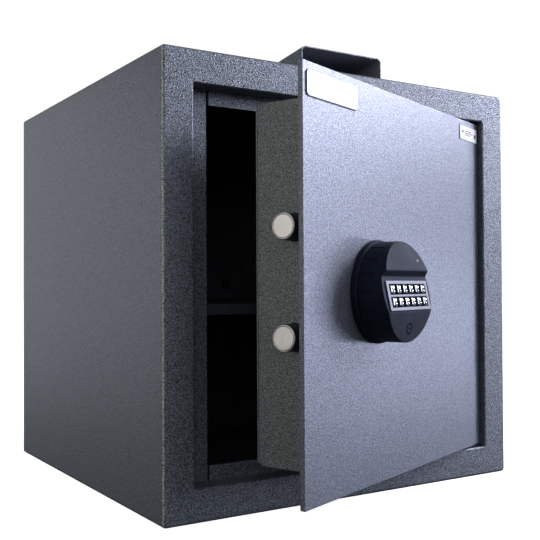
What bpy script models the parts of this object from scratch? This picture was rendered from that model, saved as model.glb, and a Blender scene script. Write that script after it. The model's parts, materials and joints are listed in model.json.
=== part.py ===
"""A deposit safe: welded steel cabinet, flush door on concealed pins, turning keypad dial, two round bolts.

Metres, +Z up, the front faces -Y, and the origin is the centre of the cabinet's underside. The door's parts
are modelled with the door shut, measured from its hinge axis, and hang on an empty that swings them ajar.
"""

import math

import bmesh
import bpy
from mathutils import Vector

# Cabinet
BODY_W = 0.450
BODY_H = 0.450
BODY_D = 0.440
SHEET = 0.003
THIN_SHEET = 0.002
GAP = 0.0003
BORDER = 0.033
RECESS = 0.024
LEFT_STOP_W = 0.0262
LEVEL_STOP_W = 0.0145
JAMB_SETBACK = 0.034
SHELF_TOP = 0.204
SHELF_FRONT_SETBACK = 0.100
SHELF_LIP = 0.012
ANCHOR_X = 0.088
ANCHOR_Z = 0.227
ANCHOR_R = 0.006
STOP_OVERLAP = 0.012
BUSH_WALL = 0.0032
BUSH_CLEARANCE = 0.0003
BRACKET = 0.020

# Deposit hood over the slot in the top
HOOD_W = 0.108
HOOD_H = 0.0276
HOOD_SETBACK = 0.020
HOOD_D = 0.080
HOOD_KNEE_D = 0.056
HOOD_KNEE_H = 0.0207
SLOT_W = 0.092
SLOT_D = 0.046
SLOT_SETBACK = 0.036
CHUTE_W = 0.120
CHUTE_SETBACK = 0.033
CHUTE_REACH = 0.060
CHUTE_DROP = 0.045

# Door
DOOR_AJAR = math.radians(22.0)
DOOR_GAP = 0.003
DOOR_T = 0.005
HINGE_INSET = 0.022
HINGE_DEPTH = 0.010
HINGE_PIN_R = 0.004
LATCH_INSET = 0.047
HINGE_SIDE_INSET = 0.030
BOX_INSET_Z = 0.020
BOX_DEPTH = 0.082
BOX_SHEET = 0.0015
BOX_LIP = 0.014
BOX_TAPER = 0.0022
BOX_TAPER_D = 0.008
SCREW_SHANK_R = 0.0017
SCREW_HEAD_R = 0.0035
LUG_HALF = 0.010
LUG_BACK = 0.008
LUG_H = 0.0151
LUG_TIP_GAP = 0.0004
PIN_REACH = 0.009
DOG_Y = (0.030, 0.038)
DOG_INSET_Z = 0.026
DOG_EDGE = 0.009
BADGE_SIZE = (0.086, 0.023)
BADGE_INSET = (0.0050, 0.0070)
BADGE_T = 0.0010
LABEL_SIZE = (0.048, 0.016)
LABEL_INSET = (0.0040, 0.0068)
LABEL_T = 0.0006

# Dial, its keypad and the drive behind it. Depths are out from the door's face, heights from the dial's axis.
DIAL_INSET = 0.1249
DIAL_Z = 0.2176
DIAL_R = 0.0472
DIAL_FLANGE_R = 0.0490
DIAL_FLANGE_T = 0.0065
DIAL_WALL = 0.003
DIAL_HOLLOW = 0.013
CROWN_HEAD_DEPTH = 0.0268
CROWN_FOOT_DEPTH = 0.0338
CROWN_FOOT = 0.0195
PANEL_HEAD_DEPTH = 0.0298
PANEL_FOOT_DEPTH = 0.0367
PANEL_HEAD = 0.0143
PANEL_FOOT = -0.0186
CHIN_FOOT_DEPTH = 0.0328
BEZEL_W = 0.0815
BEZEL_H = 0.0275
BEZEL_T = 0.0010
KEYPAD_DROP = 0.0014
KEY_COLUMNS = 6
KEY_ROWS = 2
KEY_PITCH_X = 0.0122
KEY_PITCH_Z = 0.0118
KEY_W = 0.0094
KEY_H = 0.0092
KEY_TOP = 0.0025
KEY_FOOT = -0.0030
KEY_EDGE = 0.0007
KEY_WELL_DEPTH = 0.0046
LENS_X = 0.0250
LENS_Z = 0.0290
LENS_R = 0.0017
PORT_Z = -0.0343
PORT_R = 0.0054
SEAT_DEPTH = 0.003
SPINDLE_R = 0.005
PORT_RIM = 0.0035
PORT_BOSS = 0.0016
PORT_GROOVE = 0.0014
PORT_PROUD = 0.0002

# Boltwork
BOLT_R = 0.0125
BOLT_DEPTH = 0.041
BOLT_Z = (0.277, 0.177)
BOLT_SHOWS = 0.018
BOLT_LENGTH = 0.0622
BOLT_TAIL_R = 0.005
BOLT_TAIL_L = 0.009
BOLT_CHAMFER = 0.0009
BOLT_RING_R = 0.0108
BOLT_RING_W = 0.0005
BOLT_RING_DEPTH = 0.0004
SLEEVE_WALL = 0.0032
SLEEVE_L = 0.018
GEAR_MODULE = 0.002
GEAR_TEETH = 12
PRESSURE_ANGLE = math.radians(25)
ADDENDUM = 0.8 * GEAR_MODULE
DEDENDUM = 1.0 * GEAR_MODULE
BACKLASH = 0.0002
ARM_T = 0.006
ARM_TOP = 0.032
ARM_END = 0.037
CARRIAGE_T = 0.005
CARRIAGE_HALF_D = 0.013
CARRIAGE_OVER = 0.020
PINION_W = 0.010
CASE_BACK = 0.024
CASE_LEFT = 0.018
CASE_RIGHT = 0.046
CASE_BELOW = 0.005
CASE_ABOVE = 0.049
PIN_R = 0.003
PIN_ROW = 0.023
PIN_OFFSET = 0.009
STUD_OFFSET = -0.019
STUD_R = 0.0024
STUD_HEAD_R = 0.0044

# Worked out from the above
FRONT = -BODY_D / 2
SIDE = BODY_W / 2
OPEN_X = SIDE - BORDER
OPEN_Z = (BORDER, BODY_H - BORDER)
HINGE_X = OPEN_X - HINGE_INSET
HINGE_Y = FRONT + HINGE_DEPTH
DOOR_RIGHT = OPEN_X - DOOR_GAP - HINGE_X
DOOR_LEFT = -OPEN_X + DOOR_GAP - HINGE_X
DOOR_Z = (OPEN_Z[0] + DOOR_GAP, OPEN_Z[1] - DOOR_GAP)
DOOR_FACE = -HINGE_DEPTH
DOOR_BACK = DOOR_FACE + DOOR_T
BOX_X = (DOOR_LEFT + LATCH_INSET, DOOR_RIGHT - HINGE_SIDE_INSET)
BOX_Z = (DOOR_Z[0] + BOX_INSET_Z, DOOR_Z[1] - BOX_INSET_Z)
BOX_BACK = DOOR_FACE + BOX_DEPTH
DIAL_X = DOOR_LEFT + DIAL_INSET
BOLT_Y = DOOR_FACE + BOLT_DEPTH
BOLT_TIP = BOX_X[0] - BOLT_SHOWS
BOLT_TAIL = BOLT_TIP + BOLT_LENGTH
PITCH_R = GEAR_MODULE * GEAR_TEETH / 2
BOLT_THROW = PITCH_R * math.pi / 2
CROWN_TILT = math.atan2(CROWN_FOOT_DEPTH - CROWN_HEAD_DEPTH, DIAL_R - CROWN_FOOT)
PANEL_TILT = math.atan2(PANEL_FOOT_DEPTH - PANEL_HEAD_DEPTH, PANEL_HEAD - PANEL_FOOT)
CHIN_TILT = math.atan2(CHIN_FOOT_DEPTH - PANEL_FOOT_DEPTH, PANEL_FOOT + DIAL_R)
DIAL_BACK = DOOR_FACE - DIAL_FLANGE_T - GAP


def clear_scene():
    for item in list(bpy.data.objects):
        bpy.data.objects.remove(item, do_unlink=True)


def material(name, colour, roughness, metallic):
    made = bpy.data.materials.new(name)
    made.use_nodes = True
    shader = made.node_tree.nodes["Principled BSDF"]
    shader.inputs["Base Color"].default_value = (*colour, 1.0)
    shader.inputs["Roughness"].default_value = roughness
    shader.inputs["Metallic"].default_value = metallic
    return made


def empty(name, location, parent=None, turn=(0.0, 0.0, 0.0)):
    made = bpy.data.objects.new(name, None)
    made.location = location
    made.rotation_euler = turn
    made.parent = parent
    bpy.context.collection.objects.link(made)
    return made


def add_object(name, mesh, finish, parent=None, location=(0.0, 0.0, 0.0), smooth=False):
    """Turns a bmesh into a named object with outward faces."""
    bmesh.ops.recalc_face_normals(mesh, faces=mesh.faces)
    data = bpy.data.meshes.new(name)
    mesh.to_mesh(data)
    mesh.free()
    if smooth:
        data.shade_smooth()
        data.set_sharp_from_angle(angle=math.radians(35))
    made = bpy.data.objects.new(name, data)
    made.location = location
    made.parent = parent
    if finish:
        data.materials.append(finish)
    bpy.context.collection.objects.link(made)
    return made


def box_mesh(low, high):
    mesh = bmesh.new()
    bmesh.ops.create_cube(mesh, size=1.0)
    for vertex in mesh.verts:
        vertex.co = Vector(
            low[i] if vertex.co[i] < 0 else high[i] for i in range(3)
        )
    return mesh


def block(name, low, high, finish, parent=None, location=(0.0, 0.0, 0.0)):
    return add_object(name, box_mesh(low, high), finish, parent, location)


def on_axis(axis, along, across):
    """A point from its distance along X, Y or Z and its two other coordinates, in X, Y, Z order."""
    place = list(across)
    place.insert("XYZ".index(axis), along)
    return Vector(place)


def prism_mesh(axis, outline, start, end):
    """A straight prism of a closed outline along X, Y or Z."""
    mesh = bmesh.new()
    near = [mesh.verts.new(on_axis(axis, start, point)) for point in outline]
    far = [mesh.verts.new(on_axis(axis, end, point)) for point in outline]
    mesh.faces.new(near)
    mesh.faces.new(far)
    for i in range(len(outline)):
        j = (i + 1) % len(outline)
        mesh.faces.new((near[i], near[j], far[j], far[i]))
    return mesh


def loop_mesh(axis, sections):
    """A closed ring: outlines with equal numbers of points, each (distance along the axis, outline)."""
    mesh = bmesh.new()
    loops = [
        [mesh.verts.new(on_axis(axis, along, point)) for point in outline]
        for along, outline in sections
    ]
    for k, loop in enumerate(loops):
        following = loops[(k + 1) % len(loops)]
        for i in range(len(loop)):
            j = (i + 1) % len(loop)
            mesh.faces.new((loop[i], loop[j], following[j], following[i]))
    return mesh


def rectangle(low, high, inset=0.0):
    x0, y0 = low[0] + inset, low[1] + inset
    x1, y1 = high[0] - inset, high[1] - inset
    return [(x0, y0), (x1, y0), (x1, y1), (x0, y1)]


def rounded_rectangle(low, high, radius, steps=5):
    corners = (
        (high[0] - radius, high[1] - radius, 0.0),
        (low[0] + radius, high[1] - radius, 90.0),
        (low[0] + radius, low[1] + radius, 180.0),
        (high[0] - radius, low[1] + radius, 270.0),
    )
    outline = []
    for x, y, start in corners:
        for k in range(steps + 1):
            angle = math.radians(start + 90.0 * k / steps)
            outline.append((x + radius * math.cos(angle), y + radius * math.sin(angle)))
    return outline


def slot_outline(low_x, high_x, centre, radius, steps=8):
    """A level slot with round ends, between the centres low_x and high_x."""
    outline = []
    for x, start in ((high_x, -90.0), (low_x, 90.0)):
        for k in range(steps + 1):
            angle = math.radians(start + 180.0 * k / steps)
            outline.append((x + radius * math.cos(angle), centre + radius * math.sin(angle)))
    return outline


def turned_mesh(axis, centre, profile, segments=32, ring=False):
    """A turned piece. The profile is (radius, distance along the axis); a ring's profile closes on itself."""
    mesh = bmesh.new()
    loops = []
    for radius, along in profile:
        if radius == 0:
            loops.append([mesh.verts.new(on_axis(axis, along, centre))] * segments)
            continue
        loop = []
        for k in range(segments):
            angle = 2 * math.pi * k / segments
            across = (centre[0] + radius * math.cos(angle), centre[1] + radius * math.sin(angle))
            loop.append(mesh.verts.new(on_axis(axis, along, across)))
        loops.append(loop)
    pairs = list(zip(loops, loops[1:]))
    if ring:
        pairs.append((loops[-1], loops[0]))
    for first, second in pairs:
        for i in range(segments):
            j = (i + 1) % segments
            corners = [first[i], first[j], second[j], second[i]]
            mesh.faces.new(list(dict.fromkeys(corners)))
    return mesh


def turned(
    name, axis, centre, profile, finish, parent=None, location=(0.0, 0.0, 0.0), segments=32, ring=False
):
    mesh = turned_mesh(axis, centre, profile, segments, ring)
    return add_object(name, mesh, finish, parent, location, smooth=True)


def rod_profile(radius, start, end):
    return [(0, start), (radius, start), (radius, end), (0, end)]


def tube_profile(inner, outer, start, end):
    return [(inner, start), (outer, start), (outer, end), (inner, end)]


def combine(target, mesh, name, operation="DIFFERENCE"):
    """Cuts, joins or crosses the target with a hidden helper that has the target's own parent and place."""
    helper = add_object(name, mesh, None, target.parent, target.location)
    helper.rotation_euler = target.rotation_euler
    helper.hide_render = True
    helper.display_type = "WIRE"
    modifier = target.modifiers.new(name, "BOOLEAN")
    modifier.operation = operation
    modifier.solver = "EXACT"
    modifier.object = helper
    return helper


def drill(target, name, axis, centre, radius, start, end, segments=32):
    combine(target, turned_mesh(axis, centre, rod_profile(radius, start, end), segments), name)


# ---------------------------------------------------------------- cabinet


def front_frame(paint):
    """The face border, with a return all round the door opening and a bore for each hinge bush."""
    outer = rectangle((-SIDE, 0), (SIDE, BODY_H))
    opening = rectangle((-OPEN_X, OPEN_Z[0]), (OPEN_X, OPEN_Z[1]))
    behind = rectangle((-OPEN_X, OPEN_Z[0]), (OPEN_X, OPEN_Z[1]), -SHEET)
    sections = [
        (FRONT, opening),
        (FRONT, outer),
        (FRONT + SHEET, outer),
        (FRONT + SHEET, behind),
        (FRONT + RECESS, behind),
        (FRONT + RECESS, opening),
    ]
    frame = add_object("front_frame", loop_mesh("Y", sections), paint)
    for end, z in zip(("lower", "upper"), OPEN_Z):
        place = (HINGE_X, HINGE_Y)
        bore = HINGE_PIN_R + BUSH_WALL + BUSH_CLEARANCE
        drill(frame, f"{end}_bush_bore", "Z", place, bore, z - 0.01, z + 0.01)


def wall_panels(paint):
    behind_face = FRONT + SHEET + GAP
    back = BODY_D / 2
    inner = SIDE - SHEET - GAP
    for name, low, high in (
        ("left_side_panel", -SIDE, -SIDE + SHEET),
        ("right_side_panel", SIDE - SHEET, SIDE),
    ):
        block(name, (low, behind_face, 0), (high, back, BODY_H), paint)
    block("base_panel", (-inner, behind_face, 0), (inner, back, SHEET), paint)
    slot_front = FRONT + SLOT_SETBACK
    slot = rectangle((-SLOT_W / 2, slot_front), (SLOT_W / 2, slot_front + SLOT_D))
    edge = rectangle((-inner, behind_face), (inner, back))
    bottom = BODY_H - SHEET
    sections = [(bottom, slot), (bottom, edge), (BODY_H, edge), (BODY_H, slot)]
    add_object("top_panel", loop_mesh("Z", sections), paint)
    low = (-inner, back - SHEET, SHEET + GAP)
    high = (inner, back, BODY_H - SHEET - GAP)
    panel = block("back_panel", low, high, paint)
    for side, x in (("left", -ANCHOR_X), ("right", ANCHOR_X)):
        drill(panel, f"{side}_anchor_hole", "Y", (x, ANCHOR_Z), ANCHOR_R, back - 0.01, back + 0.01, 24)


def anchor_plugs(rubber):
    """A push-in plug closes each anchor hole from inside."""
    inside = BODY_D / 2 - SHEET
    profile = [
        (0, inside - 0.0025),
        (ANCHOR_R + 0.0015, inside - 0.0025),
        (ANCHOR_R + 0.0025, inside - GAP),
        (ANCHOR_R - GAP, inside - GAP),
        (ANCHOR_R - GAP, inside + 0.002),
        (0, inside + 0.002),
    ]
    for side, x in (("left", -ANCHOR_X), ("right", ANCHOR_X)):
        turned(f"{side}_anchor_plug", "Y", (x, ANCHOR_Z), profile, rubber, segments=24)


def door_stops(paint):
    """The strips that the shut door rests on, and the set-back jamb that the hinge side swings past."""
    front = FRONT + RECESS + GAP
    inner = SIDE - SHEET - GAP
    edge = -OPEN_X + LEFT_STOP_W
    low_z, high_z = STOP_OVERLAP, BODY_H - STOP_OVERLAP
    block("left_jamb", (-inner, front, low_z), (edge, front + SHEET, high_z), paint)
    left, right = edge + DOOR_T / 2, HINGE_X - LUG_HALF
    top_edge = OPEN_Z[1] - LEVEL_STOP_W
    block("top_stop_strip", (left, front, top_edge), (right, front + SHEET, high_z), paint)
    foot_edge = OPEN_Z[0] + LEVEL_STOP_W
    block("bottom_stop_strip", (left, front, low_z), (right, front + SHEET, foot_edge), paint)
    jamb_y, jamb_x = FRONT + JAMB_SETBACK, HINGE_X - 0.002
    outline = [
        (jamb_x, jamb_y),
        (OPEN_X, jamb_y),
        (OPEN_X, front),
        (OPEN_X + SHEET, front),
        (OPEN_X + SHEET, jamb_y),
        (inner, jamb_y),
        (inner, jamb_y + SHEET),
        (jamb_x, jamb_y + SHEET),
    ]
    add_object("hinge_side_jamb", prism_mesh("Z", outline, low_z, high_z), paint)


def hinge_bushes(finish):
    for end, z, out in (("lower", OPEN_Z[0], -1), ("upper", OPEN_Z[1], 1)):
        heights = sorted((z - out * 0.002, z + out * (SHEET + 0.001)))
        profile = tube_profile(HINGE_PIN_R + GAP, HINGE_PIN_R + BUSH_WALL, *heights)
        turned(f"{end}_hinge_bush", "Z", (HINGE_X, HINGE_Y), profile, finish, segments=24, ring=True)


def shelf(paint):
    front = FRONT + SHELF_FRONT_SETBACK
    back = BODY_D / 2 - SHEET - GAP
    half = SIDE - SHEET - GAP
    under = SHELF_TOP - THIN_SHEET
    outline = [
        (front, SHELF_TOP),
        (back, SHELF_TOP),
        (back, under),
        (front + THIN_SHEET, under),
        (front + THIN_SHEET, SHELF_TOP - SHELF_LIP),
        (front, SHELF_TOP - SHELF_LIP),
    ]
    add_object("shelf", prism_mesh("X", outline, -half, half), paint)
    rest = under - GAP
    for side, sign in (("left", -1), ("right", 1)):
        bracket = [
            (sign * half, rest),
            (sign * (half - BRACKET), rest),
            (sign * (half - BRACKET), rest - THIN_SHEET),
            (sign * (half - THIN_SHEET), rest - THIN_SHEET),
            (sign * (half - THIN_SHEET), rest - BRACKET),
            (sign * half, rest - BRACKET),
        ]
        mesh = prism_mesh("Y", bracket, front + 0.006, back - 0.006)
        add_object(f"{side}_shelf_bracket", mesh, paint)


def hood_side(inset, drop):
    """The hood's side outline, (y, z): upright mouth, shallow roof, steeper tail down to the top panel."""
    front = FRONT + HOOD_SETBACK
    foot = BODY_H + GAP - drop
    return [
        (front - drop, foot),
        (front - drop, BODY_H + HOOD_H - inset),
        (front + HOOD_KNEE_D - inset / 3, BODY_H + HOOD_KNEE_H - inset),
        (front + HOOD_D - inset, foot),
    ]


def deposit_hood(paint):
    """A folded cover over the slot, open at the front and underneath."""
    half = HOOD_W / 2
    hood = add_object("deposit_hood", prism_mesh("X", hood_side(0, 0), -half, half), paint)
    inner = half - THIN_SHEET
    combine(hood, prism_mesh("X", hood_side(THIN_SHEET, 0.01), -inner, inner), "hood_hollow")


def deposit_chute(paint):
    """A sloping plate under the slot that throws the deposit back past the door, and hides the way up."""
    front = FRONT + CHUTE_SETBACK
    top = BODY_H - SHEET - GAP
    fold = 2 * THIN_SHEET
    foot = top - CHUTE_DROP
    outline = [
        (front, top),
        (front + THIN_SHEET, top),
        (front + THIN_SHEET, top - fold),
        (front + THIN_SHEET + CHUTE_REACH, foot),
        (front + CHUTE_REACH, foot - THIN_SHEET),
        (front, top - fold),
    ]
    add_object("deposit_chute", prism_mesh("X", outline, -CHUTE_W / 2, CHUTE_W / 2), paint)


def cabinet(finishes):
    front_frame(finishes["paint"])
    wall_panels(finishes["paint"])
    anchor_plugs(finishes["rubber"])
    door_stops(finishes["paint"])
    hinge_bushes(finishes["bush"])
    shelf(finishes["inside"])
    deposit_hood(finishes["paint"])
    deposit_chute(finishes["inside"])


# ------------------------------------------------------------------- door


def door_plate(finishes, hinge):
    low = (DOOR_LEFT, DOOR_FACE, DOOR_Z[0])
    high = (DOOR_RIGHT, DOOR_BACK, DOOR_Z[1])
    plate = block("door_plate", low, high, finishes["door_paint"], hinge)
    depth = (DOOR_FACE - 0.01, DOOR_BACK + 0.01)
    drill(plate, "spindle_hole", "Y", (DIAL_X, DIAL_Z), SPINDLE_R + 0.002, *depth)


def tapered(outline):
    """The pan's outline at its back, where its top and base step in."""
    middle = sum(z for _, z in outline) / len(outline)
    return [(x, z - BOX_TAPER if z > middle else z + BOX_TAPER) for x, z in outline]


def door_box(finishes, hinge):
    """The pan that holds the boltwork: four walls with a narrow lip at the back for the cover's screws."""
    low = (BOX_X[0], BOX_Z[0])
    high = (BOX_X[1], BOX_Z[1])
    wall = rectangle(low, high)
    inside = rectangle(low, high, BOX_SHEET)
    lip = rectangle(low, high, BOX_LIP)
    start = DOOR_BACK + GAP
    sections = [
        (start, inside),
        (start, wall),
        (BOX_BACK - BOX_TAPER_D, wall),
        (BOX_BACK, tapered(wall)),
        (BOX_BACK, lip),
        (BOX_BACK - BOX_SHEET, lip),
        (BOX_BACK - BOX_SHEET, tapered(inside)),
        (BOX_BACK - BOX_TAPER_D, inside),
    ]
    pan = add_object("door_box", loop_mesh("Y", sections), finishes["door_paint"], hinge)
    for k, z in enumerate(BOLT_Z):
        drill(pan, f"bolt_hole_{k}", "X", (BOLT_Y, z), BOLT_R + 0.0008, BOX_X[0] - 0.01, BOX_X[0] + 0.01)
    return pan


def screw_places():
    inset = BOX_LIP / 2
    across = (BOX_X[0] + inset, BOX_X[1] - inset)
    heights = (BOX_Z[0] + inset, BOX_Z[1] - inset)
    return [(x, z) for x in across for z in heights]


def rear_cover(finishes, hinge, pan):
    start = BOX_BACK + GAP
    end = start + BOX_SHEET
    low = (BOX_X[0], start, BOX_Z[0] + BOX_TAPER)
    high = (BOX_X[1], end, BOX_Z[1] - BOX_TAPER)
    cover = block("rear_cover", low, high, finishes["door_paint"], hinge)
    shank, head = SCREW_SHANK_R, SCREW_HEAD_R
    for k, place in enumerate(screw_places()):
        for target, label in ((cover, "cover"), (pan, "lip")):
            drill(target, f"{label}_screw_hole_{k}", "Y", place, shank + GAP, start - 0.01, end + 0.01, 12)
        profile = [
            (0, start - 0.006),
            (shank, start - 0.006),
            (shank, end + GAP),
            (head, end + GAP),
            (head, end + 0.0012),
            (head - 0.001, end + 0.002),
            (0, end + 0.002),
        ]
        turned(f"rear_cover_screw_{k + 1}", "Y", place, profile, finishes["steel"], hinge, segments=12)


def dog_bar(finishes, hinge):
    """A fixed bar that slides behind the hinge-side jamb as the door shuts."""
    low = (BOX_X[1] + GAP, DOG_Y[0], BOX_Z[0] + DOG_INSET_Z)
    high = (DOG_EDGE, DOG_Y[1], BOX_Z[1] - DOG_INSET_Z)
    block("dog_bar", low, high, finishes["steel"], hinge)


def hinge_lugs(finishes, hinge):
    """A lug inside each end of the door's hinge side, with a pin that reaches into the cabinet's bush."""
    for end, door_edge, out in (("lower", DOOR_Z[0], -1), ("upper", DOOR_Z[1], 1)):
        outside = door_edge - out * LUG_TIP_GAP
        inside = outside - out * LUG_H
        low_z, high_z = sorted((inside, outside))
        low = (-LUG_HALF, DOOR_BACK + GAP, low_z)
        lug = block(f"{end}_hinge_lug", low, (LUG_HALF, LUG_BACK, high_z), finishes["steel"], hinge)
        drill(lug, f"{end}_lug_bore", "Z", (0, 0), HINGE_PIN_R + GAP, low_z - 0.01, high_z + 0.01, 24)
        ends = sorted((inside, door_edge + out * PIN_REACH))
        profile = rod_profile(HINGE_PIN_R, *ends)
        turned(f"{end}_hinge_pin", "Z", (0, 0), profile, finishes["steel"], hinge, segments=24)


def bolt_sleeves(finishes, hinge):
    for end, z in zip(("upper", "lower"), BOLT_Z):
        start = BOX_X[0] + BOX_SHEET + GAP
        profile = tube_profile(BOLT_R + GAP, BOLT_R + GAP + SLEEVE_WALL, start, start + SLEEVE_L)
        turned(f"{end}_bolt_sleeve", "X", (BOLT_Y, z), profile, finishes["bush"], hinge, ring=True)


def lock_case(finishes, hinge):
    """The electronic lock's housing, with a blind bore for the pin that blocks the boltwork."""
    pin = (DIAL_X + PIN_OFFSET, DIAL_Z + PIN_ROW)
    low = (pin[0] - CASE_LEFT, DOOR_BACK + GAP, pin[1] - CASE_BELOW)
    high = (pin[0] + CASE_RIGHT, CASE_BACK, pin[1] + CASE_ABOVE)
    case = block("lock_case", low, high, finishes["zinc"], hinge)
    pin_front = -0.0025
    drill(case, "pin_bore", "Y", pin, PIN_R + GAP, pin_front - 0.0005, CASE_BACK + 0.006, 24)
    profile = rod_profile(PIN_R, pin_front, CASE_BACK)
    turned("blocking_pin", "Y", (0, 0), profile, finishes["steel"], hinge, (pin[0], 0, pin[1]), 24)


def guide_stud(finishes, hinge):
    place = (DIAL_X + STUD_OFFSET, DIAL_Z + PIN_ROW)
    under_head = BOLT_Y + ARM_T / 2 + 2 * GAP
    top = under_head + 0.0014
    profile = [
        (0, DOOR_BACK + GAP),
        (STUD_R, DOOR_BACK + GAP),
        (STUD_R, under_head),
        (STUD_HEAD_R, under_head),
        (STUD_HEAD_R, top),
        (0, top),
    ]
    turned("carriage_guide_stud", "Y", place, profile, finishes["steel"], hinge, segments=20)


def badges(finishes, hinge):
    """Two blank plates on the door's face, one in each top corner."""
    back = DOOR_FACE - GAP
    top = DOOR_Z[1] - BADGE_INSET[1]
    low = (DOOR_LEFT + BADGE_INSET[0], top - BADGE_SIZE[1])
    outline = rounded_rectangle(low, (low[0] + BADGE_SIZE[0], top), 0.004)
    add_object("name_badge", prism_mesh("Y", outline, back - BADGE_T, back), finishes["badge"], hinge)
    high = (DOOR_RIGHT - LABEL_INSET[0], DOOR_Z[1] - LABEL_INSET[1])
    low = (high[0] - LABEL_SIZE[0], high[1] - LABEL_SIZE[1])
    outline = rounded_rectangle(low, high, 0.001, 3)
    add_object("corner_label", prism_mesh("Y", outline, back - LABEL_T, back), finishes["label"], hinge)


# ------------------------------------------------------------------- dial


def dial_base(finishes, hinge):
    back = DOOR_FACE - GAP
    front = DOOR_FACE - DIAL_FLANGE_T
    bore = SPINDLE_R + 0.002
    profile = [
        (bore, front),
        (DIAL_FLANGE_R - 0.0015, front),
        (DIAL_FLANGE_R, front + 0.0015),
        (DIAL_FLANGE_R, back),
        (bore, back),
    ]
    place = (DIAL_X, DIAL_Z)
    turned("dial_base", "Y", place, profile, finishes["plastic"], hinge, segments=64, ring=True)


def dial_side():
    """The dial's side outline, (y, z) about its axis: leaning crown, undercut, sloping keypad and chin."""
    over = 0.01
    return [
        (DIAL_BACK + over, DIAL_R + over),
        (DOOR_FACE - CROWN_HEAD_DEPTH + over * math.tan(CROWN_TILT), DIAL_R + over),
        (DOOR_FACE - CROWN_FOOT_DEPTH, CROWN_FOOT),
        (DOOR_FACE - PANEL_HEAD_DEPTH, PANEL_HEAD),
        (DOOR_FACE - PANEL_FOOT_DEPTH, PANEL_FOOT),
        (DOOR_FACE - CHIN_FOOT_DEPTH - over * math.tan(CHIN_TILT), -DIAL_R - over),
        (DIAL_BACK + over, -DIAL_R - over),
    ]


def leaned(mesh, tilt, centre):
    """Leans a mesh made about a face's centre, facing -Y, to face upwards by the tilt."""
    for vertex in mesh.verts:
        x, y, z = vertex.co
        lean_y = y * math.cos(tilt) + z * math.sin(tilt)
        lean_z = z * math.cos(tilt) - y * math.sin(tilt)
        vertex.co = Vector((x, lean_y, lean_z)) + Vector(centre)
    return mesh


def panel_centre():
    """The middle of the keypad on the sloping panel."""
    depth = (PANEL_HEAD_DEPTH + PANEL_FOOT_DEPTH) / 2 + KEYPAD_DROP * math.sin(PANEL_TILT)
    z = (PANEL_HEAD + PANEL_FOOT) / 2 - KEYPAD_DROP * math.cos(PANEL_TILT)
    return (0.0, DOOR_FACE - depth, z)


def lens_centre():
    depth = CROWN_FOOT_DEPTH - (LENS_Z - CROWN_FOOT) * math.tan(CROWN_TILT)
    return (LENS_X, DOOR_FACE - depth, LENS_Z)


def port_centre():
    depth = PANEL_FOOT_DEPTH + (PANEL_FOOT - PORT_Z) * math.tan(CHIN_TILT)
    return (0.0, DOOR_FACE - depth, PORT_Z)


def key_row_heights():
    return [(KEY_ROWS - 1) / 2 * KEY_PITCH_Z - row * KEY_PITCH_Z for row in range(KEY_ROWS)]


def key_window(z, front, back):
    """The opening that one row of keys shares."""
    half_w = (KEY_COLUMNS * KEY_PITCH_X + 0.0002) / 2
    half_h = KEY_H / 2 + 0.0004
    return box_mesh((-half_w, front, z - half_h), (half_w, back, z + half_h))


def dial_housing(finishes, axis):
    disc = rod_profile(DIAL_R, DOOR_FACE - PANEL_FOOT_DEPTH - 0.01, DIAL_BACK)
    housing = turned("dial_housing", "Y", (0, 0), disc, finishes["plastic"], axis, segments=64)
    reach = DIAL_R + 0.01
    combine(housing, prism_mesh("X", dial_side(), -reach, reach), "dial_profile", "INTERSECT")
    depth = (DIAL_BACK - DIAL_HOLLOW, DIAL_BACK + 0.01)
    hollow = tube_profile(SPINDLE_R + 2 * DIAL_WALL, DIAL_R - DIAL_WALL, *depth)
    combine(housing, turned_mesh("Y", (0, 0), hollow, 48, ring=True), "dial_hollow")
    drill(housing, "spindle_socket", "Y", (0, 0), SPINDLE_R + GAP, *depth, 24)
    for row, z in enumerate(key_row_heights()):
        well = leaned(key_window(z, -0.010, KEY_WELL_DEPTH), PANEL_TILT, panel_centre())
        combine(housing, well, f"key_well_{row}")
    for name, radius, tilt, centre in (
        ("lens_seat", LENS_R, CROWN_TILT, lens_centre()),
        ("port_seat", PORT_R, CHIN_TILT, port_centre()),
    ):
        seat = turned_mesh("Y", (0, 0), rod_profile(radius + GAP, -0.01, SEAT_DEPTH), 24)
        combine(housing, leaned(seat, tilt, centre), name)


def signal_lens(finishes, axis):
    """A low dome of clear plastic in the crown."""
    foot = SEAT_DEPTH - GAP
    profile = [(0, -0.0004), (LENS_R * 0.7, -0.0002), (LENS_R, 0.0004), (LENS_R, foot), (0, foot)]
    mesh = leaned(turned_mesh("Y", (0, 0), profile, 16), CROWN_TILT, lens_centre())
    add_object("signal_lens", mesh, finishes["lens"], axis, smooth=True)


def service_port(finishes, axis):
    """A round insert in the chin, with a raised rim, a ring groove and a small centre boss."""
    foot = SEAT_DEPTH - GAP
    profile = [
        (0, GAP),
        (PORT_BOSS, GAP),
        (PORT_BOSS, PORT_GROOVE),
        (PORT_RIM, PORT_GROOVE),
        (PORT_RIM, -PORT_PROUD),
        (PORT_R, -PORT_PROUD),
        (PORT_R, foot),
        (0, foot),
    ]
    mesh = leaned(turned_mesh("Y", (0, 0), profile, 24), CHIN_TILT, port_centre())
    add_object("service_port", mesh, finishes["plastic"], axis, smooth=True)


def keypad_bezel(finishes, axis):
    outline = rounded_rectangle((-BEZEL_W / 2, -BEZEL_H / 2), (BEZEL_W / 2, BEZEL_H / 2), 0.0012, 3)
    frame = leaned(prism_mesh("Y", outline, -GAP - BEZEL_T, -GAP), PANEL_TILT, panel_centre())
    bezel = add_object("keypad_bezel", frame, finishes["silver"], axis)
    for row, z in enumerate(key_row_heights()):
        window = leaned(key_window(z, -0.010, 0.010), PANEL_TILT, panel_centre())
        combine(bezel, window, f"bezel_window_{row}")


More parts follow.
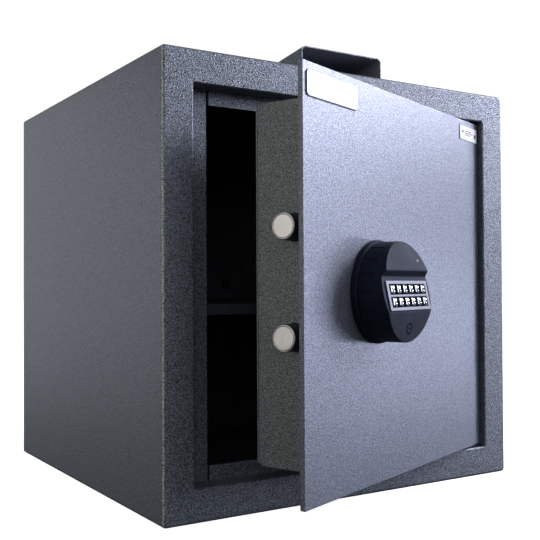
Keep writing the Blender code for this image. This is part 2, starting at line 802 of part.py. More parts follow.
def keys(finishes, axis):
    plane = empty("keypad_plane", panel_centre(), axis, (-PANEL_TILT, 0, 0))
    number = 0
    for z in key_row_heights():
        for column in range(KEY_COLUMNS):
            number += 1
            x = (column - (KEY_COLUMNS - 1) / 2) * KEY_PITCH_X
            low = (-KEY_W / 2, -KEY_TOP, -KEY_H / 2)
            high = (KEY_W / 2, -KEY_FOOT, KEY_H / 2)
            key = block(f"key_{number:02d}", low, high, finishes["chrome"], plane, (x, 0, z))
            bevel = key.modifiers.new("rounded edges", "BEVEL")
            bevel.width = KEY_EDGE
            bevel.segments = 1


def spindle(finishes, axis):
    profile = rod_profile(SPINDLE_R, DIAL_BACK - DIAL_HOLLOW + 0.001, BOLT_Y + 0.008)
    turned("dial_spindle", "Y", (0, 0), profile, finishes["steel"], axis, segments=24)


def gear_outline():
    """An involute pinion with one tooth straight up, (x, z)."""
    base = PITCH_R * math.cos(PRESSURE_ANGLE)
    root = PITCH_R - DEDENDUM
    tip = PITCH_R + ADDENDUM

    def half_angle(radius):
        angle = math.acos(min(1.0, base / radius))
        rolled = math.tan(angle) - angle
        at_pitch = math.tan(PRESSURE_ANGLE) - PRESSURE_ANGLE
        return (math.pi / 2 - BACKLASH / PITCH_R * GEAR_TEETH / 2) / GEAR_TEETH + at_pitch - rolled

    flank = [(root, half_angle(base))]
    steps = 5
    for k in range(steps + 1):
        radius = base + (tip - base) * k / steps
        flank.append((radius, half_angle(radius)))
    outline = []
    for tooth in range(GEAR_TEETH):
        middle = 2 * math.pi * tooth / GEAR_TEETH
        sides = [(r, middle - a) for r, a in flank] + [(r, middle + a) for r, a in reversed(flank)]
        outline += [(r * math.sin(a), r * math.cos(a)) for r, a in sides]
    return outline


def drive_pinion(finishes, axis):
    mesh = prism_mesh("Y", gear_outline(), BOLT_Y - PINION_W / 2, BOLT_Y + PINION_W / 2)
    pinion = add_object("drive_pinion", mesh, finishes["steel"], axis)
    drill(pinion, "pinion_bore", "Y", (0, 0), SPINDLE_R + GAP, BOLT_Y - PINION_W, BOLT_Y + PINION_W, 24)


# --------------------------------------------------------------- boltwork


def rack_outline():
    """The carriage's arm, (x, z) from the dial's axis, with the rack's teeth along its lower edge."""
    pitch = math.pi * GEAR_MODULE
    slope = math.tan(PRESSURE_ANGLE)
    half = pitch / 4 - BACKLASH / 2
    tip_z, root_z = PITCH_R - ADDENDUM, PITCH_R + DEDENDUM
    bar = BOLT_TAIL - DIAL_X + 0.002
    outline = [(bar, ARM_TOP), (bar, root_z)]
    for tooth in range(-2, 5):
        middle = (tooth + 0.5) * pitch
        root_half = half + DEDENDUM * slope
        tip_half = half - ADDENDUM * slope
        outline += [
            (middle - root_half, root_z),
            (middle - tip_half, tip_z),
            (middle + tip_half, tip_z),
            (middle + root_half, root_z),
        ]
    outline += [(ARM_END, root_z), (ARM_END, ARM_TOP)]
    return [(x + DIAL_X, z + DIAL_Z) for x, z in outline]


def bolt_carriage(finishes, hinge):
    """One plate ties both bolts together; its arm is the rack, with a guide slot and two pin holes."""
    low = (BOLT_TAIL + GAP, BOLT_Y - CARRIAGE_HALF_D, BOLT_Z[1] - CARRIAGE_OVER)
    high = (BOLT_TAIL + GAP + CARRIAGE_T, BOLT_Y + CARRIAGE_HALF_D, BOLT_Z[0] + CARRIAGE_OVER)
    carriage = block("bolt_carriage", low, high, finishes["zinc"], hinge)
    arm = (BOLT_Y - ARM_T / 2, BOLT_Y + ARM_T / 2)
    combine(carriage, prism_mesh("Y", rack_outline(), *arm), "rack_arm", "UNION")
    row = DIAL_Z + PIN_ROW
    cut = (arm[0] - 0.01, arm[1] + 0.01)
    stud = DIAL_X + STUD_OFFSET
    slot = slot_outline(stud, stud + BOLT_THROW, row, STUD_R + 0.0004)
    combine(carriage, prism_mesh("Y", slot, *cut), "guide_slot")
    pin = DIAL_X + PIN_OFFSET
    for k, x in enumerate((pin, pin + BOLT_THROW)):
        drill(carriage, f"pin_hole_{k}", "Y", (x, row), PIN_R + 0.0008, *cut, 20)
    for k, z in enumerate(BOLT_Z):
        through = (low[0] - 0.01, high[0] + 0.01)
        drill(carriage, f"tail_hole_{k}", "X", (BOLT_Y, z), BOLT_TAIL_R + GAP, *through, 24)


def bolts(finishes, hinge):
    """Round bolts with a chamfered nose, a fine ring in the end face and a tail through the carriage."""
    end_x = BOLT_TAIL + BOLT_TAIL_L
    profile = [
        (0, BOLT_TIP),
        (BOLT_RING_R - BOLT_RING_W, BOLT_TIP),
        (BOLT_RING_R, BOLT_TIP + BOLT_RING_DEPTH),
        (BOLT_RING_R + BOLT_RING_W, BOLT_TIP),
        (BOLT_R - BOLT_CHAMFER, BOLT_TIP),
        (BOLT_R, BOLT_TIP + BOLT_CHAMFER),
        (BOLT_R, BOLT_TAIL),
        (BOLT_TAIL_R, BOLT_TAIL),
        (BOLT_TAIL_R, end_x),
        (0, end_x),
    ]
    for end, z in zip(("upper", "lower"), BOLT_Z):
        turned(f"{end}_bolt", "X", (BOLT_Y, z), profile, finishes["nickel"], hinge, segments=40)


def door(finishes):
    hinge = empty("door_hinge_axis", (HINGE_X, HINGE_Y, 0), None, (0, 0, DOOR_AJAR))
    door_plate(finishes, hinge)
    rear_cover(finishes, hinge, door_box(finishes, hinge))
    dog_bar(finishes, hinge)
    hinge_lugs(finishes, hinge)
    bolt_sleeves(finishes, hinge)
    lock_case(finishes, hinge)
    guide_stud(finishes, hinge)
    badges(finishes, hinge)
    dial_base(finishes, hinge)
    bolt_carriage(finishes, hinge)
    bolts(finishes, hinge)
    axis = empty("dial_axis", (DIAL_X, 0, DIAL_Z), hinge)
    dial_housing(finishes, axis)
    signal_lens(finishes, axis)
    service_port(finishes, axis)
    keypad_bezel(finishes, axis)
    keys(finishes, axis)
    spindle(finishes, axis)
    drive_pinion(finishes, axis)


def make_finishes():
    return {
        "paint": material("blue-grey hammered paint", (0.172, 0.186, 0.222), 0.42, 0.55),
        "door_paint": material("door paint", (0.172, 0.184, 0.230), 0.41, 0.55),
        "inside": material("inside paint", (0.03, 0.032, 0.04), 0.6, 0.2),
        "plastic": material("black plastic", (0.011, 0.014, 0.022), 0.62, 0.0),
        "silver": material("satin silver", (0.36, 0.36, 0.41), 0.48, 1.0),
        "chrome": material("key chrome", (0.8, 0.8, 0.82), 0.2, 1.0),
        "nickel": material("satin nickel", (0.68, 0.645, 0.63), 0.38, 1.0),
        "steel": material("bright steel", (0.46, 0.46, 0.47), 0.32, 1.0),
        "zinc": material("zinc plate", (0.52, 0.53, 0.5), 0.42, 1.0),
        "bush": material("oiled steel", (0.075, 0.078, 0.085), 0.45, 1.0),
        "rubber": material("plug rubber", (0.03, 0.03, 0.03), 0.8, 0.0),
        "badge": material("white badge", (0.9, 0.9, 0.91), 0.22, 0.0),
        "label": material("pale label", (0.86, 0.86, 0.88), 0.28, 0.0),
        "lens": material("signal lens", (0.55, 0.46, 0.48), 0.12, 0.0),
    }


def main():
    clear_scene()
    finishes = make_finishes()
    cabinet(finishes)
    door(finishes)


main()
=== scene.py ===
"""Looks of the deposit safe: a folded shell, a door, a turning keypad dial and round bolts.

Metres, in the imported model's own frame: +Z up, the front faces -Y. The door's pieces are built in the
door's frame, whose origin is on the hinge axis, and the dial's in a frame on the dial's axis. A depth is
measured out from the door's face. A profile is a list of (radius, y) or (height, depth) points.
"""

import json
import math

import bmesh
import bpy
from mathutils import Matrix, Vector

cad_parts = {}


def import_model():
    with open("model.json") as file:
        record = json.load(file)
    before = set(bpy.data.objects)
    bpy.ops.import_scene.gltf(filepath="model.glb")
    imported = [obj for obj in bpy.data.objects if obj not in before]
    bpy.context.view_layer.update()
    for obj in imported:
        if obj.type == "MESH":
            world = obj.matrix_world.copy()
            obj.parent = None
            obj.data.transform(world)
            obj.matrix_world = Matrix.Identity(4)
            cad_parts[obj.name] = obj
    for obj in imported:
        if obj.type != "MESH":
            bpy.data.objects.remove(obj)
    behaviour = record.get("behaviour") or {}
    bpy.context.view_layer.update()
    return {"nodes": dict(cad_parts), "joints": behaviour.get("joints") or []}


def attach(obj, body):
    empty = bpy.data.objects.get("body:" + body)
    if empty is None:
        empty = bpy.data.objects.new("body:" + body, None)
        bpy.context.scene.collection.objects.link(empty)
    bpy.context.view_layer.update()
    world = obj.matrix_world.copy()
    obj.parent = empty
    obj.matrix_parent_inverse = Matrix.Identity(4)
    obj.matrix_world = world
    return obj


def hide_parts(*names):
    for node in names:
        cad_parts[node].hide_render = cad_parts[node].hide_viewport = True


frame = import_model()
JOINTS = {joint["name"]: joint for joint in frame["joints"]}
HERE = Matrix.Identity(4)
CUT_REACH = 0.01  # how far a cutter stands out of what it cuts


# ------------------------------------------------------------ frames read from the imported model


def door_frame():
    """The hinge axis at the floor, turned by the angle that the door stands ajar."""
    swing = JOINTS["door_swing"]
    x, y, _ = swing["pos_m"]
    ajar = -math.radians(swing["range_deg"][0])
    return Matrix.Translation((x, y, 0)) @ Matrix.Rotation(ajar, 4, "Z")


def dial_frame():
    """A frame on the dial's axis with the door's directions, as deep as the hinge axis."""
    place = DOOR.inverted() @ Vector(JOINTS["dial_turn"]["pos_m"])
    return DOOR @ Matrix.Translation((place.x, 0, place.z))


def corners(node, matrix=HERE):
    """A node's lowest and highest corners, measured along a frame's own axes."""
    turned_back = matrix.inverted()
    points = [turned_back @ vertex.co for vertex in frame["nodes"][node].data.vertices]
    low = Vector(min(point[i] for point in points) for i in range(3))
    high = Vector(max(point[i] for point in points) for i in range(3))
    return low, high


DOOR = door_frame()
DIAL = dial_frame()
FACE = corners("door_plate", DOOR)[0].y


# ------------------------------------------------------------------------------- mesh helpers


def rounded_loop(low, high, radius, steps=6):
    """Points round a rectangle with rounded corners: always 4 * (steps + 1), starting top right."""
    middles = (
        (high[0] - radius, high[1] - radius, 0),
        (low[0] + radius, high[1] - radius, 90),
        (low[0] + radius, low[1] + radius, 180),
        (high[0] - radius, low[1] + radius, 270),
    )
    points = []
    for a, b, start in middles:
        for k in range(steps + 1):
            angle = math.radians(start + 90 * k / steps)
            points.append((a + radius * math.cos(angle), b + radius * math.sin(angle)))
    return points


def inset_loop(low, high, radius, inset, steps=6):
    """The same rectangle, moved inwards; its corners stay at least a little round."""
    least = 0.0001
    return rounded_loop(
        (low[0] + inset, low[1] + inset),
        (high[0] - inset, high[1] - inset),
        max(radius - inset, least),
        steps,
    )


def quarter_turn(steps):
    """Angles from 0 to 90 degrees, in equal steps."""
    return [math.pi / 2 * k / steps for k in range(steps + 1)]


def curve(start, middle, end, t):
    """The point at t on the curve that leaves start towards middle and arrives at end."""
    return start * (1 - t) ** 2 + middle * 2 * t * (1 - t) + end * t * t


def on_y(y, outline):
    """The outline's (x, z) points at one y."""
    return [Vector((x, y, z)) for x, z in outline]


def join(mesh, rows):
    """Faces from each row of vertices to the next; corners that are one vertex count once."""
    for row, following in zip(rows, rows[1:]):
        for i in range(len(row)):
            j = (i + 1) % len(row)
            around = dict.fromkeys((row[i], row[j], following[j], following[i]))
            mesh.faces.new(list(around))


def skin(loops, ring=False):
    """Joins each loop to the next, and either closes both ends or joins the last loop to the first."""
    mesh = bmesh.new()
    rows = [[mesh.verts.new(point) for point in loop] for loop in loops]
    mesh.verts.index_update()
    if ring:
        join(mesh, rows + rows[:1])
    else:
        join(mesh, rows)
        mesh.faces.new(rows[0])
        mesh.faces.new(rows[-1])
    return mesh


def turn(profile, segments=96):
    """A turned solid about Y from (radius, y) points; a radius of 0 closes an end."""
    mesh = bmesh.new()
    angles = [2 * math.pi * k / segments for k in range(segments)]
    rows = []
    for radius, y in profile:
        if radius == 0:
            rows.append([mesh.verts.new((0, y, 0))] * segments)
        else:
            rows.append([mesh.verts.new((radius * math.sin(a), y, radius * math.cos(a))) for a in angles])
    join(mesh, rows)
    return mesh


def rounded_profile(points, radius, steps=4):
    """The same profile with every corner between its ends rounded by a small curve."""
    share = 0.45
    made = [points[0]]
    for before, here, after in zip(points, points[1:], points[2:]):
        corner = Vector(here)
        into = Vector(before) - corner
        out = Vector(after) - corner
        reach = min(radius, into.length * share, out.length * share)
        start = corner + into.normalized() * reach
        end = corner + out.normalized() * reach
        made += [tuple(curve(start, corner, end, k / steps)) for k in range(steps + 1)]
    made.append(points[-1])
    return made


def slab(low, high, corner, edge, steps=6):
    """A plate across X and Z with rounded corners and rounded edges on both faces."""
    loops = []
    for angle in quarter_turn(4):
        inset = edge * (1 - math.sin(angle))
        y = low.y + edge * (1 - math.cos(angle))
        loops.append(on_y(y, inset_loop((low.x, low.z), (high.x, high.z), corner, inset, steps)))
    back = [[Vector((p.x, low.y + high.y - p.y, p.z)) for p in loop] for loop in reversed(loops)]
    return skin(loops + back)


def plug(radius, start, end, segments=48):
    """A round cutter along Y."""
    return turn([(0, start), (radius, start), (radius, end), (0, end)], segments)


def box(low, high):
    """A plain block between two corners."""
    mesh = bmesh.new()
    bmesh.ops.create_cube(mesh, size=1.0)
    for vertex in mesh.verts:
        vertex.co = Vector(low[i] if vertex.co[i] < 0 else high[i] for i in range(3))
    return mesh


def make(name, mesh, matrix):
    """An object from a mesh that was built in the matrix's frame."""
    bmesh.ops.recalc_face_normals(mesh, faces=mesh.faces)
    mesh.transform(matrix)
    data = bpy.data.meshes.new(name)
    mesh.to_mesh(data)
    mesh.free()
    made = bpy.data.objects.new(name, data)
    bpy.context.scene.collection.objects.link(made)
    return made


def take_modifiers(target):
    """Applies the target's modifiers to its mesh."""
    bpy.context.view_layer.update()
    graph = bpy.context.evaluated_depsgraph_get()
    data = bpy.data.meshes.new_from_object(target.evaluated_get(graph))
    target.modifiers.clear()
    target.data = data


def cut(target, mesh, matrix=HERE):
    """Takes the mesh's volume out of the target."""
    helper = make("helper", mesh, matrix)
    modifier = target.modifiers.new("cut", "BOOLEAN")
    modifier.object = helper
    modifier.operation = "DIFFERENCE"
    modifier.solver = "EXACT"
    take_modifiers(target)
    bpy.data.objects.remove(helper)


def drill(target, middle, radius, axis, matrix=HERE, segments=48):
    """A round hole through a sheet, along X, Y or Z."""
    aims = {"X": Matrix.Rotation(math.pi / 2, 4, "Z"), "Y": HERE, "Z": Matrix.Rotation(math.pi / 2, 4, "X")}
    cutter = plug(radius, -CUT_REACH, CUT_REACH, segments)
    cut(target, cutter, matrix @ (Matrix.Translation(middle) @ aims[axis]))


def round_edges(target, width, segments, angle):
    """Rounds every edge sharper than the angle, in degrees."""
    bevel = target.modifiers.new("edges", "BEVEL")
    bevel.width = width
    bevel.segments = segments
    bevel.limit_method = "ANGLE"
    bevel.angle_limit = math.radians(angle)
    return bevel


def coat(made, *finishes):
    """Gives an object its materials, in the order that its faces number them."""
    for finish in finishes:
        made.data.materials.append(finish)


def settle(made, body, replaced=(), angle=35.0):
    """Gives a coated object its shading and the body it rides on."""
    made.data.shade_smooth()
    made.data.set_sharp_from_angle(angle=math.radians(angle))
    even = made.modifiers.new("even shading", "WEIGHTED_NORMAL")
    even.keep_sharp = True
    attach(made, body)
    if replaced:
        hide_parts(*replaced)


def piece(name, mesh, finish, body, matrix=HERE, replaced=(), angle=35.0):
    """A whole piece of one material, from its mesh."""
    made = make(name, mesh, matrix)
    coat(made, finish)
    settle(made, body, replaced, angle)


def dress(nodes, finish, edge):
    """Keeps the nodes' own shapes, with a finish and softly rounded edges."""
    same_place, by_face_area = 0.00001, 100
    for name in nodes:
        node = frame["nodes"][name]
        node.data.materials.clear()
        coat(node, finish)
        node.data.shade_smooth()
        weld = node.modifiers.new("weld", "WELD")
        weld.merge_threshold = same_place
        round_edges(node, edge, 2, 40.0)
        even = node.modifiers.new("even shading", "WEIGHTED_NORMAL")
        even.weight = by_face_area


# ---------------------------------------------------------------------------------- materials


def map_range(tree, start, end, low, high):
    """A node that maps start to end onto low to high."""
    node = tree.nodes.new("ShaderNodeMapRange")
    node.inputs["From Min"].default_value = start
    node.inputs["From Max"].default_value = end
    node.inputs["To Min"].default_value = low
    node.inputs["To Max"].default_value = high
    return node


class Finish:
    """A node material in the making: its shader, and ways to drive it from object coordinates."""

    def __init__(self, name, colour, roughness, metallic=0.0, specular=0.5):
        self.material = bpy.data.materials.new(name)
        self.material.use_nodes = True
        self.tree = self.material.node_tree
        self.shader = self.tree.nodes["Principled BSDF"]
        self.shader.inputs["Base Color"].default_value = (*colour, 1.0)
        self.shader.inputs["Roughness"].default_value = roughness
        self.shader.inputs["Metallic"].default_value = metallic
        self.shader.inputs["Specular IOR Level"].default_value = specular
        self.place = self.tree.nodes.new("ShaderNodeTexCoord").outputs["Object"]
        self.normal = None

    def link(self, start, end):
        self.tree.links.new(start, end)

    def mapped(self, setting, value):
        """The texture's place with the Scale or the Rotation of a mapping set."""
        mapping = self.tree.nodes.new("ShaderNodeMapping")
        mapping.inputs[setting].default_value = value
        self.link(self.place, mapping.inputs["Vector"])
        return mapping.outputs["Vector"]

    def lean(self):
        """Turns the texture off the axes, so that no flat face lies along the noise's own grid."""
        off_the_axes = (0.5, 0.7, 0.3)
        self.place = self.mapped("Rotation", off_the_axes)

    def noise(self, scale, detail=2.0, rough=0.5, stretch=None):
        node = self.tree.nodes.new("ShaderNodeTexNoise")
        node.inputs["Scale"].default_value = scale
        node.inputs["Detail"].default_value = detail
        node.inputs["Roughness"].default_value = rough
        place = self.mapped("Scale", stretch) if stretch else self.place
        self.link(place, node.inputs["Vector"])
        return node.outputs["Fac"]

    def cells(self, scale):
        node = self.tree.nodes.new("ShaderNodeTexVoronoi")
        node.feature = "SMOOTH_F1"
        node.inputs["Scale"].default_value = scale
        node.inputs["Smoothness"].default_value = 0.6
        self.link(self.place, node.inputs["Vector"])
        return node.outputs["Distance"]

    def tint(self, value, dark, light, start=0.3, end=0.7):
        """Colours the surface from dark to light over a texture's values from start to end."""
        ramp = self.tree.nodes.new("ShaderNodeValToRGB")
        ramp.color_ramp.elements[0].position = start
        ramp.color_ramp.elements[0].color = (*dark, 1.0)
        ramp.color_ramp.elements[1].position = end
        ramp.color_ramp.elements[1].color = (*light, 1.0)
        self.link(value, ramp.inputs["Fac"])
        self.link(ramp.outputs["Color"], self.shader.inputs["Base Color"])

    def rough(self, value, low, high):
        """Spreads the roughness from low to high over a texture's middle values."""
        node = map_range(self.tree, 0.3, 0.7, low, high)
        self.link(value, node.inputs["Value"])
        self.link(node.outputs["Result"], self.shader.inputs["Roughness"])

    def bump(self, value, strength, depth):
        """Adds a layer of bumps over those already there."""
        node = self.tree.nodes.new("ShaderNodeBump")
        node.inputs["Strength"].default_value = strength
        node.inputs["Distance"].default_value = depth
        self.link(value, node.inputs["Height"])
        if self.normal:
            self.link(self.normal, node.inputs["Normal"])
        self.normal = node.outputs["Normal"]
        self.link(self.normal, self.shader.inputs["Normal"])


def shaded(colour, factor):
    """The colour made darker or lighter."""
    return tuple(part * factor for part in colour)


def hammered_paint(name, colour, roughness, metallic, bump=0.9, contrast=0.95):
    """Metallic powder coat with a fine hammered surface, about a millimetre from bump to bump."""
    flecks, patches, dimples, grain = 980, 400, 930, 1500
    finish = Finish(name, colour, roughness, metallic)
    finish.lean()
    dark, light = shaded(colour, 1 - contrast), shaded(colour, 1 + contrast)
    finish.tint(finish.noise(flecks, 2.0, 0.6), dark, light, 0.36, 0.64)
    finish.rough(finish.noise(patches, 2.0), roughness - 0.06, roughness + 0.06)
    finish.bump(finish.cells(dimples), bump, 0.0004)
    finish.bump(finish.noise(grain, 1.0), bump * 0.5, 0.0002)
    return finish.material


def moulded_plastic(name, colour, roughness):
    """Spark-eroded black moulding: very fine even grain, a few smoother patches and a bluish sheen."""
    bluish = (0.50, 0.60, 1.0, 1.0)
    finish = Finish(name, colour, roughness, 0.0, 0.14)
    finish.shader.inputs["Specular Tint"].default_value = bluish
    finish.tint(finish.noise(90, 3.0), shaded(colour, 0.85), shaded(colour, 1.15))
    finish.rough(finish.noise(35, 4.0), roughness - 0.05, roughness + 0.05)
    finish.bump(finish.noise(2600, 2.0), 0.18, 0.0001)
    return finish.material


def plain_metal(name, colour, roughness, grain=(1.0, 1.0, 1.0), marks=0.25):
    """Bare or plated metal, with fine machining marks along the grain's long way."""
    finish = Finish(name, colour, roughness, 1.0)
    finish.tint(finish.noise(30, 4.0), shaded(colour, 0.9), shaded(colour, 1.05))
    machined = finish.noise(900, 2.0, 0.6, grain)
    finish.rough(machined, roughness - 0.08, roughness + 0.08)
    finish.bump(machined, marks, 0.00008)
    return finish.material


def soft_rubber(name, colour, roughness):
    """Dull rubber with a faint grain."""
    finish = Finish(name, colour, roughness, 0.0, 0.3)
    finish.tint(finish.noise(60, 3.0), shaded(colour, 0.8), shaded(colour, 1.25))
    finish.bump(finish.noise(1800, 2.0), 0.2, 0.0001)
    return finish.material


def glossy_plastic(name, colour, roughness, lacquer=0.4):
    """Smooth plastic or print under a thin clear lacquer."""
    finish = Finish(name, colour, roughness)
    finish.shader.inputs["Coat Weight"].default_value = lacquer
    finish.shader.inputs["Coat Roughness"].default_value = 0.08
    finish.tint(finish.noise(25, 2.0), shaded(colour, 0.985), shaded(colour, 1.01))
    finish.rough(finish.noise(140, 3.0), roughness - 0.04, roughness + 0.05)
    finish.bump(finish.noise(220, 1.0), 0.03, 0.0001)
    return finish.material


PAINT = hammered_paint("blue-grey hammered paint", (0.172, 0.186, 0.222), 0.42, 0.55)
DOOR_PAINT = hammered_paint("door hammered paint", (0.172, 0.184, 0.230), 0.41, 0.55, 0.50, 0.60)
# A less blue copy of the paint for the door's pan: a painted tone of what its side reflects.
PAN_REFLECTION_PAINT = hammered_paint("pan paint tinted as painted reflection", (0.166, 0.180, 0.190), 0.42, 0.55, 0.7, 0.75)
# About twice as light as the body's paint: a painted highlight along the outer folds.
FOLD_HIGHLIGHT_PAINT = hammered_paint("painted highlight on the folds", (0.36, 0.38, 0.37), 0.42, 0.55)
SIDE_PAINT = hammered_paint("side hammered paint", (0.172, 0.186, 0.222), 0.42, 0.55, 0.5, 0.50)
# A much darker copy of the paint for the cabinet's inside: painted shade in the recess.
INSIDE_SHADE_PAINT = hammered_paint("inside paint", (0.075, 0.080, 0.100), 0.60, 0.2, 0.3, 0.35)
# A lighter, less metallic copy of the paint for the hood's inside: painted fill light in its shade.
LINING_FILL_LIGHT = hammered_paint("hood lining lightened as painted fill light", (0.190, 0.200, 0.250), 0.60, 0.1, 0.3, 0.35)
PLASTIC = moulded_plastic("black moulding", (0.010, 0.013, 0.024), 0.62)
SILVER = plain_metal("satin silver", (0.20, 0.20, 0.24), 0.60, (1.0, 0.05, 1.0), 0.15)
CHROME = plain_metal("key chrome", (0.60, 0.60, 0.63), 0.16, (1.0, 1.0, 1.0), 0.05)
NICKEL = plain_metal("satin nickel", (0.87, 0.815, 0.87), 0.34, (0.1, 1.0, 1.0), 0.2)
# Dark steel: the bushes' and sleeves' own finish, and painted shade on the bolts' shafts and end-face
# rings.
OILED_AND_SHADE_STEEL = plain_metal("oiled steel", (0.075, 0.078, 0.085), 0.45, (1.0, 1.0, 0.2), 0.3)
STEEL = plain_metal("bright steel", (0.46, 0.46, 0.47), 0.32, (1.0, 1.0, 0.1), 0.3)
ZINC = plain_metal("zinc plate", (0.52, 0.53, 0.50), 0.42, (1.0, 0.2, 1.0), 0.3)
RUBBER = soft_rubber("plug rubber", (0.03, 0.03, 0.03), 0.8)
BADGE = glossy_plastic("white badge", (0.90, 0.90, 0.91), 0.22)
LABEL = glossy_plastic("pale label", (0.86, 0.86, 0.88), 0.28)
INK = glossy_plastic("dark ink", (0.02, 0.02, 0.025), 0.4, 0.1)
LENS = glossy_plastic("signal lens", (0.26, 0.23, 0.25), 0.40, 0.1)


# ------------------------------------------------------------------------------------ cabinet


SHEET = 0.003
BODY_LOW, BODY_HIGH = corners("front_frame")
RETURN_BACK = BODY_HIGH.y
BODY_HIGH.y = corners("left_side_panel")[1].y


def opening():
    """The door opening in X and Z: the shut door's edges with a gap round them."""
    plate_low, plate_high = corners("door_plate", DOOR)
    hinge_x = JOINTS["door_swing"]["pos_m"][0]
    gap = 0.003
    low = (hinge_x + plate_low.x - gap, plate_low.z - gap)
    high = (hinge_x + plate_high.x + gap, plate_high.z + gap)
    return low, high


def cabinet_loops():
    """Round the whole section of the folded shell, from the opening's return out, back and inside again."""
    open_low, open_high = opening()
    outer_low, outer_high = (BODY_LOW.x, BODY_LOW.z), (BODY_HIGH.x, BODY_HIGH.z)
    front, back = BODY_LOW.y, BODY_HIGH.y
    fold, bend, rear_bend = 0.0018, 0.0034, 0.0016
    open_corner, outer_corner, steps = 0.0006, 0.0040, 4

    def opening_loop(y, inset):
        return on_y(y, inset_loop(open_low, open_high, open_corner + max(-inset, 0), inset, steps))

    def outer_loop(y, inset):
        return on_y(y, inset_loop(outer_low, outer_high, outer_corner, inset, steps))

    loops = [opening_loop(RETURN_BACK, 0.0)]
    for a in quarter_turn(5):
        loops.append(opening_loop(front + fold * (1 - math.sin(a)), -fold * (1 - math.cos(a))))
    for a in quarter_turn(5):
        loops.append(outer_loop(front + bend * (1 - math.cos(a)), bend * (1 - math.sin(a))))
    for a in quarter_turn(5):
        loops.append(outer_loop(back - rear_bend * (1 - math.sin(a)), rear_bend * (1 - math.cos(a))))
    loops.append(outer_loop(back, SHEET))
    loops.append(outer_loop(front + SHEET, SHEET))
    loops.append(opening_loop(front + SHEET, -SHEET))
    loops.append(opening_loop(RETURN_BACK, -SHEET))
    return loops


def slot_cutter():
    """The deposit slot through the top panel, from the panel's inner edges."""
    edge, corner = 0.01, 0.004
    low, high = corners("top_panel")
    inner = []
    for vertex in frame["nodes"]["top_panel"].data.vertices:
        x, y, _ = vertex.co
        if low.x + edge < x < high.x - edge and low.y + edge < y < high.y - edge:
            inner.append((x, y))
    slot_low = (min(x for x, _ in inner), min(y for _, y in inner))
    slot_high = (max(x for x, _ in inner), max(y for _, y in inner))
    outline = rounded_loop(slot_low, slot_high, corner)
    heights = (low.z - CUT_REACH, high.z + CUT_REACH)
    return skin([[Vector((x, y, z)) for x, y in outline] for z in heights])


def paint_shell(shell):
    """Calmer paint round the outside and on the inner floor, a lighter paint on the folds as a painted
    highlight, and a darker paint inside as painted shade.
    """
    coat(shell, PAINT, INSIDE_SHADE_PAINT, SIDE_PAINT, FOLD_HIGHLIGHT_PAINT)
    inside, side, fold = 1, 2, 3
    middle = Vector(((BODY_LOW.x + BODY_HIGH.x) / 2, 0, (BODY_LOW.z + BODY_HIGH.z) / 2))
    for face in shell.data.polygons:
        inwards = middle - face.center
        inwards.y = 0
        behind_border = face.center.y > BODY_LOW.y + SHEET / 2
        reach = max(abs(face.center.x) - BODY_HIGH.x, abs(face.center.z - middle.z) - middle.z)
        under_skin = reach < -SHEET / 2
        faces_inwards = behind_border and under_skin and face.normal.dot(inwards) > 0
        # Inward faces behind the return, all but the floor, take the dark inside paint: painted shade.
        if faces_inwards and face.center.y > RETURN_BACK:
            face.material_index = side if face.normal.z > 0.5 else inside
        elif not under_skin and abs(face.normal.y) < 0.1:
            face.material_index = side
        # Outer faces between the front and the sides take the light fold paint: a painted highlight.
        elif not under_skin and min(abs(face.normal.x), abs(face.normal.y)) > 0.2:
            face.material_index = fold


def cabinet_shell():
    """Sides, top, base and face border, folded from one sheet, with the deposit slot and hinge bores."""
    air = 0.0003
    shell = make("cabinet_shell", skin(cabinet_loops(), ring=True), HERE)
    cut(shell, slot_cutter())
    for end in ("upper", "lower"):
        low, high = corners(f"{end}_hinge_bush")
        drill(shell, (low + high) / 2, (high.x - low.x) / 2 + air, "Z")
    paint_shell(shell)
    nodes = ("front_frame", "left_side_panel", "right_side_panel", "top_panel", "base_panel")
    settle(shell, "cabinet", nodes, 30.0)


def weld_bead():
    """A fine fillet where the back panel meets the shell."""
    low, high = corners("back_panel")
    radius, outside, inside = 0.0006, -0.0006, 0.0010
    behind, deep = high.y - 0.0001, high.y - 0.0008  # just below the back face, and in the corner
    loops = []
    for inset, y in ((outside, deep), (outside, behind), (inside, behind), (inside, deep)):
        loops.append(on_y(y, inset_loop((low.x, low.z), (high.x, high.z), radius, inset, 4)))
    piece("back_weld", skin(loops, ring=True), PAINT, "cabinet")


def hood_outline(x0, x1, z0, z1, radius, steps=6):
    """An arch of (x, z) points from the left foot over the roof to the right foot."""
    points = [(x0, z0)]
    for middle_x, start in ((x0 + radius, 180), (x1 - radius, 90)):
        for k in range(steps + 1):
            angle = math.radians(start - 90 * k / steps)
            points.append((middle_x + radius * math.cos(angle), z1 - radius + radius * math.sin(angle)))
    points.append((x1, z0))
    return points


def hood_roof(low, high, least):
    """(y, roof height) from the mouth back: straight to the node's own knee, then down to the foot."""
    at_side = low.x + 0.0001
    points = [vertex.co for vertex in frame["nodes"]["deposit_hood"].data.vertices]
    side = [point for point in points if point.x < at_side]
    knee = max(side, key=lambda p: (p.y - low.y) * (p.z - low.z))
    bend = 0.010
    before = Vector((knee.y - bend, knee.z + (high.z - knee.z) * bend / (knee.y - low.y)))
    after = Vector((knee.y + bend, knee.z - (knee.z - low.z) * bend / (high.y - knee.y)))
    halfway = (low.y + (knee.y - low.y) * 0.5, high.z + (knee.z - high.z) * 0.5)
    roof = [(low.y, high.z), halfway]
    roof += [tuple(curve(before, Vector((knee.y, knee.z)), after, k / 6)) for k in range(7)]
    roof.append((high.y, low.z + least))
    return roof


